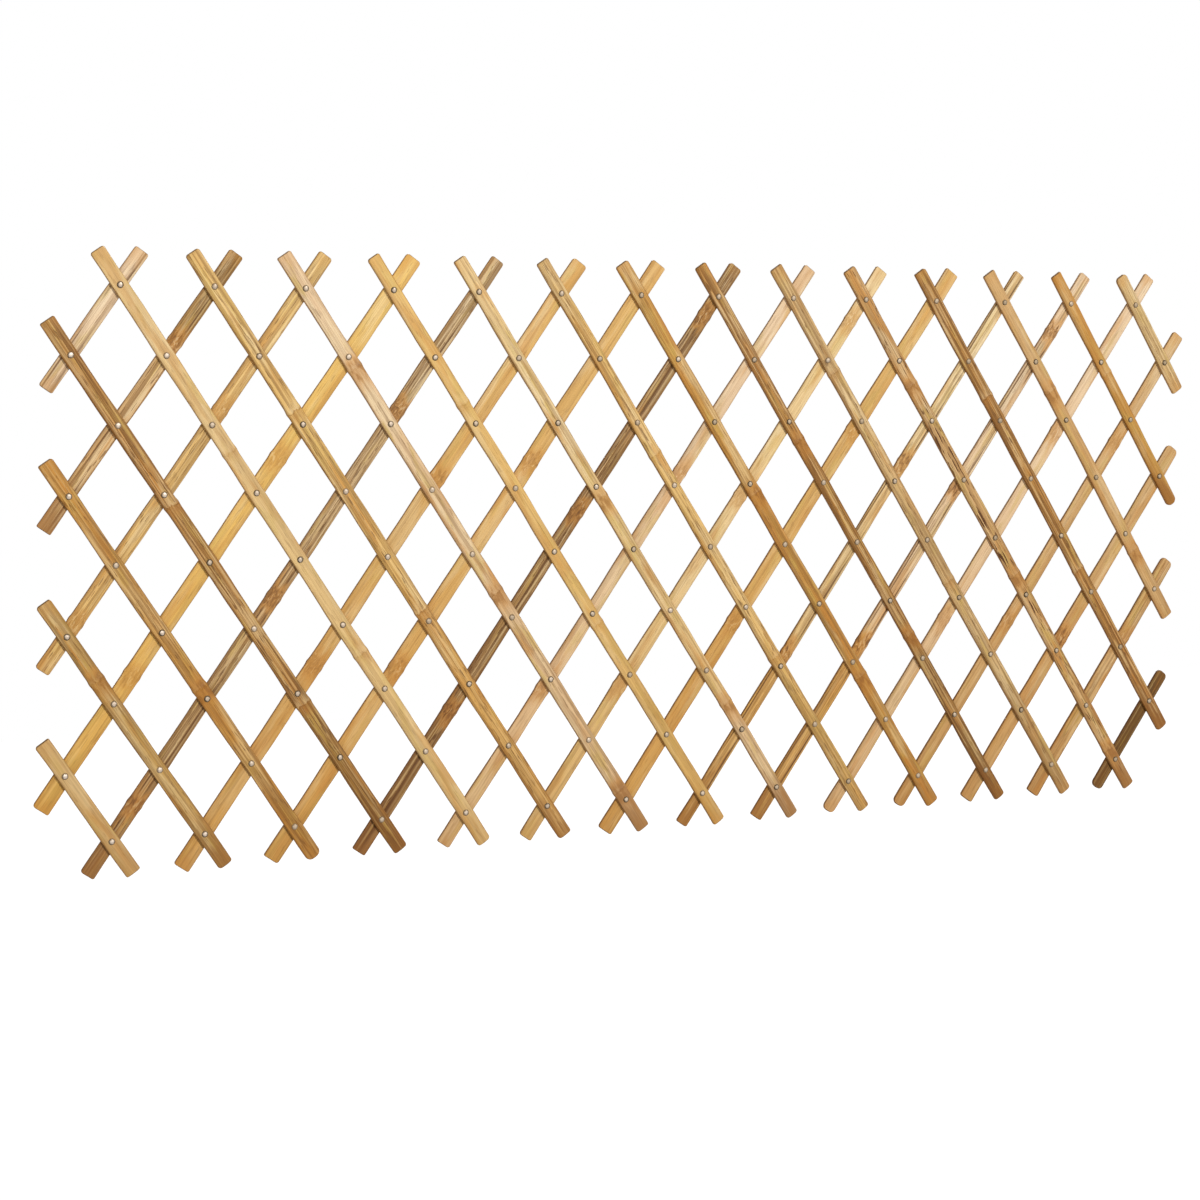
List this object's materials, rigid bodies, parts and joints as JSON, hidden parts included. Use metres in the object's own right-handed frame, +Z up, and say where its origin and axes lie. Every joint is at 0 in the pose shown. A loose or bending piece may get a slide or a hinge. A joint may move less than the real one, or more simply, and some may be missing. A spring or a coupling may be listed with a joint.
{
  "type": "expandable trellis panel",
  "caption": "Flat garden trellis of crossed split-bamboo slats pinned as lazy tongs, so the panel widens or folds to a bundle; fixed to a wall or fence to carry climbing plants.",
  "frame": {"origin": "on the wall plane, at the tail of the anchor pin, which is in the middle pin column and one row above the middle row", "axes": "+X along the panel to the viewer's right, +Y from the viewer towards the wall, +Z up"},
  "size_m": [1.8126, 0.0144, 0.818],
  "materials": {
    "bamboo_straw": "split bamboo with its smooth skin, satin, unpainted",
    "bamboo_cream": "split bamboo with its smooth skin, satin, unpainted",
    "bamboo_golden": "split bamboo with its smooth skin, satin, unpainted",
    "bamboo_honey": "split bamboo with its smooth skin, satin, unpainted",
    "bamboo_tan": "split bamboo with its smooth skin, satin, unpainted",
    "bamboo_orange": "split bamboo with its smooth skin, satin, unpainted",
    "bamboo_russet": "split bamboo with its smooth skin, satin, unpainted",
    "bamboo_brown": "split bamboo with its smooth skin, satin, unpainted",
    "bamboo_grey": "split bamboo with its smooth skin, satin, unpainted",
    "bamboo_olive": "split bamboo with its smooth skin, satin, unpainted",
    "pin_steel": "bright zinc-plated steel, domed"
  },
  "bodies": {
    "anchor": {"anchor_pin": "pin_steel"},
    "front_slat_01": {"front_slat_01": "bamboo_tan", "left_end_pin_8": "pin_steel", "left_end_pin_9": "pin_steel"},
    "front_slat_02": {"front_slat_02": "bamboo_tan", "left_end_pin_6": "pin_steel", "left_end_pin_7": "pin_steel"},
    "front_slat_03": {"front_slat_03": "bamboo_russet", "left_end_pin_4": "pin_steel", "left_end_pin_5": "pin_steel"},
    "front_slat_04": {"front_slat_04": "bamboo_brown", "left_end_pin_2": "pin_steel", "left_end_pin_3": "pin_steel"},
    "front_slat_05": {"front_slat_05": "bamboo_straw", "left_end_pin_1": "pin_steel"},
    "front_slat_06": {"front_slat_06": "bamboo_tan"},
    "front_slat_07": {"front_slat_07": "bamboo_cream"},
    "front_slat_08": {"front_slat_08": "bamboo_golden", "middle_pin_7": "pin_steel"},
    "front_slat_09": {"front_slat_09": "bamboo_honey", "middle_pin_5": "pin_steel"},
    "front_slat_10": {"front_slat_10": "bamboo_golden"},
    "front_slat_11": {"front_slat_11": "bamboo_orange", "middle_pin_1": "pin_steel"},
    "front_slat_12": {"front_slat_12": "bamboo_russet"},
    "front_slat_13": {"front_slat_13": "bamboo_tan"},
    "front_slat_14": {"front_slat_14": "bamboo_tan", "right_end_pin_9": "pin_steel"},
    "front_slat_15": {"front_slat_15": "bamboo_russet", "right_end_pin_7": "pin_steel", "right_end_pin_8": "pin_steel"},
    "front_slat_16": {"front_slat_16": "bamboo_tan", "right_end_pin_5": "pin_steel", "right_end_pin_6": "pin_steel"},
    "front_slat_17": {"front_slat_17": "bamboo_orange", "right_end_pin_3": "pin_steel", "right_end_pin_4": "pin_steel"},
    "front_slat_18": {"front_slat_18": "bamboo_tan", "right_end_pin_1": "pin_steel", "right_end_pin_2": "pin_steel"},
    "back_slat_01": {"back_slat_01": "bamboo_cream"},
    "back_slat_02": {"back_slat_02": "bamboo_tan"},
    "back_slat_03": {"back_slat_03": "bamboo_tan"},
    "back_slat_04": {"back_slat_04": "bamboo_golden"},
    "back_slat_05": {"back_slat_05": "bamboo_grey"},
    "back_slat_06": {"back_slat_06": "bamboo_honey"},
    "back_slat_07": {"back_slat_07": "bamboo_honey"},
    "back_slat_08": {"back_slat_08": "bamboo_brown"},
    "back_slat_09": {"back_slat_09": "bamboo_cream"},
    "back_slat_10": {"back_slat_10": "bamboo_straw"},
    "back_slat_11": {"back_slat_11": "bamboo_honey"},
    "back_slat_12": {"back_slat_12": "bamboo_tan"},
    "back_slat_13": {"back_slat_13": "bamboo_tan"},
    "back_slat_14": {"back_slat_14": "bamboo_cream"},
    "back_slat_15": {"back_slat_15": "bamboo_tan"},
    "back_slat_16": {"back_slat_16": "bamboo_tan"},
    "back_slat_17": {"back_slat_17": "bamboo_tan"},
    "back_slat_18": {"back_slat_18": "bamboo_olive"}
  },
  "joints": [
    {"name": "open_and_close", "type": "hinge", "parent": "anchor", "child": "front_slat_10", "pos_m": [0, 0, 0], "axis": [0, -1, 0], "range_deg": [-27.6, 48.6]},
    {"name": "front_slat_01_hinge", "type": "hinge", "parent": "back_slat_04", "child": "front_slat_01", "pos_m": [-0.868, 0, -0.36], "axis": [0, -1, 0], "range_deg": [-55.2, 97.2]},
    {"name": "front_slat_02_hinge", "type": "hinge", "parent": "back_slat_06", "child": "front_slat_02", "pos_m": [-0.682, 0, -0.45], "axis": [0, -1, 0], "range_deg": [-55.2, 97.2]},
    {"name": "front_slat_03_hinge", "type": "hinge", "parent": "back_slat_06", "child": "front_slat_03", "pos_m": [-0.62, 0, -0.36], "axis": [0, -1, 0], "range_deg": [-55.2, 97.2]},
    {"name": "front_slat_04_hinge", "type": "hinge", "parent": "back_slat_06", "child": "front_slat_04", "pos_m": [-0.558, 0, -0.27], "axis": [0, -1, 0], "range_deg": [-55.2, 97.2]},
    {"name": "front_slat_05_hinge", "type": "hinge", "parent": "back_slat_09", "child": "front_slat_05", "pos_m": [-0.31, 0, -0.45], "axis": [0, -1, 0], "range_deg": [-55.2, 97.2]},
    {"name": "front_slat_06_hinge", "type": "hinge", "parent": "back_slat_09", "child": "front_slat_06", "pos_m": [-0.248, 0, -0.36], "axis": [0, -1, 0], "range_deg": [-55.2, 97.2]},
    {"name": "front_slat_07_hinge", "type": "hinge", "parent": "back_slat_09", "child": "front_slat_07", "pos_m": [-0.186, 0, -0.27], "axis": [0, -1, 0], "range_deg": [-55.2, 97.2]},
    {"name": "front_slat_08_hinge", "type": "hinge", "parent": "back_slat_09", "child": "front_slat_08", "pos_m": [-0.124, 0, -0.18], "axis": [0, -1, 0], "range_deg": [-55.2, 97.2]},
    {"name": "front_slat_09_hinge", "type": "hinge", "parent": "back_slat_09", "child": "front_slat_09", "pos_m": [-0.062, 0, -0.09], "axis": [0, -1, 0], "range_deg": [-55.2, 97.2]},
    {"name": "front_slat_11_hinge", "type": "hinge", "parent": "back_slat_09", "child": "front_slat_11", "pos_m": [0.062, 0, 0.09], "axis": [0, -1, 0], "range_deg": [-55.2, 97.2]},
    {"name": "front_slat_12_hinge", "type": "hinge", "parent": "back_slat_09", "child": "front_slat_12", "pos_m": [0.124, 0, 0.18], "axis": [0, -1, 0], "range_deg": [-55.2, 97.2]},
    {"name": "front_slat_13_hinge", "type": "hinge", "parent": "back_slat_09", "child": "front_slat_13", "pos_m": [0.186, 0, 0.27], "axis": [0, -1, 0], "range_deg": [-55.2, 97.2]},
    {"name": "front_slat_14_hinge", "type": "hinge", "parent": "back_slat_14", "child": "front_slat_14", "pos_m": [0.558, 0, -0.09], "axis": [0, -1, 0], "range_deg": [-55.2, 97.2]},
    {"name": "front_slat_15_hinge", "type": "hinge", "parent": "back_slat_14", "child": "front_slat_15", "pos_m": [0.62, 0, 0], "axis": [0, -1, 0], "range_deg": [-55.2, 97.2]},
    {"name": "front_slat_16_hinge", "type": "hinge", "parent": "back_slat_14", "child": "front_slat_16", "pos_m": [0.682, 0, 0.09], "axis": [0, -1, 0], "range_deg": [-55.2, 97.2]},
    {"name": "front_slat_17_hinge", "type": "hinge", "parent": "back_slat_14", "child": "front_slat_17", "pos_m": [0.744, 0, 0.18], "axis": [0, -1, 0], "range_deg": [-55.2, 97.2]},
    {"name": "front_slat_18_hinge", "type": "hinge", "parent": "back_slat_14", "child": "front_slat_18", "pos_m": [0.806, 0, 0.27], "axis": [0, -1, 0], "range_deg": [-55.2, 97.2]},
    {"name": "back_slat_01_hinge", "type": "hinge", "parent": "front_slat_05", "child": "back_slat_01", "pos_m": [-0.806, 0, 0.27], "axis": [0, 1, 0], "range_deg": [-55.2, 97.2]},
    {"name": "back_slat_02_hinge", "type": "hinge", "parent": "front_slat_05", "child": "back_slat_02", "pos_m": [-0.744, 0, 0.18], "axis": [0, 1, 0], "range_deg": [-55.2, 97.2]},
    {"name": "back_slat_03_hinge", "type": "hinge", "parent": "front_slat_05", "child": "back_slat_03", "pos_m": [-0.682, 0, 0.09], "axis": [0, 1, 0], "range_deg": [-55.2, 97.2]},
    {"name": "back_slat_04_hinge", "type": "hinge", "parent": "front_slat_05", "child": "back_slat_04", "pos_m": [-0.62, 0, 0], "axis": [0, 1, 0], "range_deg": [-55.2, 97.2]},
    {"name": "back_slat_05_hinge", "type": "hinge", "parent": "front_slat_05", "child": "back_slat_05", "pos_m": [-0.558, 0, -0.09], "axis": [0, 1, 0], "range_deg": [-55.2, 97.2]},
    {"name": "back_slat_06_hinge", "type": "hinge", "parent": "front_slat_10", "child": "back_slat_06", "pos_m": [-0.186, 0, 0.27], "axis": [0, 1, 0], "range_deg": [-55.2, 97.2]},
    {"name": "back_slat_07_hinge", "type": "hinge", "parent": "front_slat_10", "child": "back_slat_07", "pos_m": [-0.124, 0, 0.18], "axis": [0, 1, 0], "range_deg": [-55.2, 97.2]},
    {"name": "back_slat_08_hinge", "type": "hinge", "parent": "front_slat_10", "child": "back_slat_08", "pos_m": [-0.062, 0, 0.09], "axis": [0, 1, 0], "range_deg": [-55.2, 97.2]},
    {"name": "back_slat_09_hinge", "type": "hinge", "parent": "anchor", "child": "back_slat_09", "pos_m": [0, 0, 0], "axis": [0, 1, 0], "range_deg": [-27.6, 48.6]},
    {"name": "back_slat_10_hinge", "type": "hinge", "parent": "front_slat_10", "child": "back_slat_10", "pos_m": [0.062, 0, -0.09], "axis": [0, 1, 0], "range_deg": [-55.2, 97.2]},
    {"name": "back_slat_11_hinge", "type": "hinge", "parent": "front_slat_10", "child": "back_slat_11", "pos_m": [0.124, 0, -0.18], "axis": [0, 1, 0], "range_deg": [-55.2, 97.2]},
    {"name": "back_slat_12_hinge", "type": "hinge", "parent": "front_slat_10", "child": "back_slat_12", "pos_m": [0.186, 0, -0.27], "axis": [0, 1, 0], "range_deg": [-55.2, 97.2]},
    {"name": "back_slat_13_hinge", "type": "hinge", "parent": "front_slat_10", "child": "back_slat_13", "pos_m": [0.248, 0, -0.36], "axis": [0, 1, 0], "range_deg": [-55.2, 97.2]},
    {"name": "back_slat_14_hinge", "type": "hinge", "parent": "front_slat_10", "child": "back_slat_14", "pos_m": [0.31, 0, -0.45], "axis": [0, 1, 0], "range_deg": [-55.2, 97.2]},
    {"name": "back_slat_15_hinge", "type": "hinge", "parent": "front_slat_13", "child": "back_slat_15", "pos_m": [0.558, 0, -0.27], "axis": [0, 1, 0], "range_deg": [-55.2, 97.2]},
    {"name": "back_slat_16_hinge", "type": "hinge", "parent": "front_slat_13", "child": "back_slat_16", "pos_m": [0.62, 0, -0.36], "axis": [0, 1, 0], "range_deg": [-55.2, 97.2]},
    {"name": "back_slat_17_hinge", "type": "hinge", "parent": "front_slat_13", "child": "back_slat_17", "pos_m": [0.682, 0, -0.45], "axis": [0, 1, 0], "range_deg": [-55.2, 97.2]},
    {"name": "back_slat_18_hinge", "type": "hinge", "parent": "front_slat_15", "child": "back_slat_18", "pos_m": [0.868, 0, -0.36], "axis": [0, 1, 0], "range_deg": [-55.2, 97.2]}
  ],
  "couplings": [
    {"joint": "front_slat_01_hinge", "follows": "open_and_close", "ratio": 2},
    {"joint": "front_slat_02_hinge", "follows": "open_and_close", "ratio": 2},
    {"joint": "front_slat_03_hinge", "follows": "open_and_close", "ratio": 2},
    {"joint": "front_slat_04_hinge", "follows": "open_and_close", "ratio": 2},
    {"joint": "front_slat_05_hinge", "follows": "open_and_close", "ratio": 2},
    {"joint": "front_slat_06_hinge", "follows": "open_and_close", "ratio": 2},
    {"joint": "front_slat_07_hinge", "follows": "open_and_close", "ratio": 2},
    {"joint": "front_slat_08_hinge", "follows": "open_and_close", "ratio": 2},
    {"joint": "front_slat_09_hinge", "follows": "open_and_close", "ratio": 2},
    {"joint": "front_slat_11_hinge", "follows": "open_and_close", "ratio": 2},
    {"joint": "front_slat_12_hinge", "follows": "open_and_close", "ratio": 2},
    {"joint": "front_slat_13_hinge", "follows": "open_and_close", "ratio": 2},
    {"joint": "front_slat_14_hinge", "follows": "open_and_close", "ratio": 2},
    {"joint": "front_slat_15_hinge", "follows": "open_and_close", "ratio": 2},
    {"joint": "front_slat_16_hinge", "follows": "open_and_close", "ratio": 2},
    {"joint": "front_slat_17_hinge", "follows": "open_and_close", "ratio": 2},
    {"joint": "front_slat_18_hinge", "follows": "open_and_close", "ratio": 2},
    {"joint": "back_slat_01_hinge", "follows": "open_and_close", "ratio": 2},
    {"joint": "back_slat_02_hinge", "follows": "open_and_close", "ratio": 2},
    {"joint": "back_slat_03_hinge", "follows": "open_and_close", "ratio": 2},
    {"joint": "back_slat_04_hinge", "follows": "open_and_close", "ratio": 2},
    {"joint": "back_slat_05_hinge", "follows": "open_and_close", "ratio": 2},
    {"joint": "back_slat_06_hinge", "follows": "open_and_close", "ratio": 2},
    {"joint": "back_slat_07_hinge", "follows": "open_and_close", "ratio": 2},
    {"joint": "back_slat_08_hinge", "follows": "open_and_close", "ratio": 2},
    {"joint": "back_slat_09_hinge", "follows": "open_and_close", "ratio": 1},
    {"joint": "back_slat_10_hinge", "follows": "open_and_close", "ratio": 2},
    {"joint": "back_slat_11_hinge", "follows": "open_and_close", "ratio": 2},
    {"joint": "back_slat_12_hinge", "follows": "open_and_close", "ratio": 2},
    {"joint": "back_slat_13_hinge", "follows": "open_and_close", "ratio": 2},
    {"joint": "back_slat_14_hinge", "follows": "open_and_close", "ratio": 2},
    {"joint": "back_slat_15_hinge", "follows": "open_and_close", "ratio": 2},
    {"joint": "back_slat_16_hinge", "follows": "open_and_close", "ratio": 2},
    {"joint": "back_slat_17_hinge", "follows": "open_and_close", "ratio": 2},
    {"joint": "back_slat_18_hinge", "follows": "open_and_close", "ratio": 2}
  ]
}
